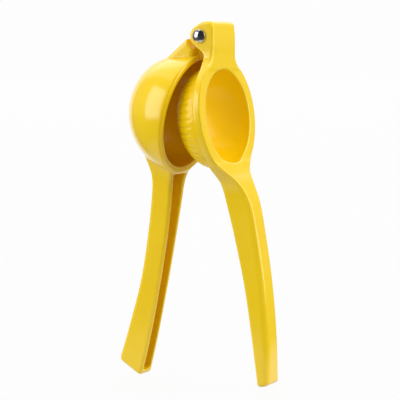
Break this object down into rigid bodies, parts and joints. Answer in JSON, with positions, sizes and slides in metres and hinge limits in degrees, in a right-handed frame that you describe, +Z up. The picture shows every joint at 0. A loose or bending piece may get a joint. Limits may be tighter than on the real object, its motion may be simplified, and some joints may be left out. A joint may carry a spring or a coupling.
{
  "type": "hinged lemon squeezer",
  "caption": "Two-lever citrus press: a perforated bowl and a ribbed dome on long curved handles, joined at one end by a riveted fork hinge, standing open on its handle ends.",
  "frame": {"origin": "on the ground under the middle of the whole width, between the two handle ends it stands on", "axes": "+Z up, +Y along the hinge pin towards the rivet's cap, +X towards the press lever"},
  "size_m": [0.103, 0.0748, 0.217],
  "materials": {
    "enamel": "gloss enamel on cast aluminium",
    "rivet": "polished"
  },
  "bodies": {
    "bowl": {"bowl_lever": "enamel"},
    "press": {"press_lever": "enamel", "rivet_shank": "rivet", "rivet_cap": "rivet"}
  },
  "joints": [
    {"name": "lever_hinge", "type": "hinge", "parent": "bowl", "child": "press", "pos_m": [0.00921, 0, 0.20809], "axis": [0, -1, 0], "range_deg": [-21, 124]}
  ]
}
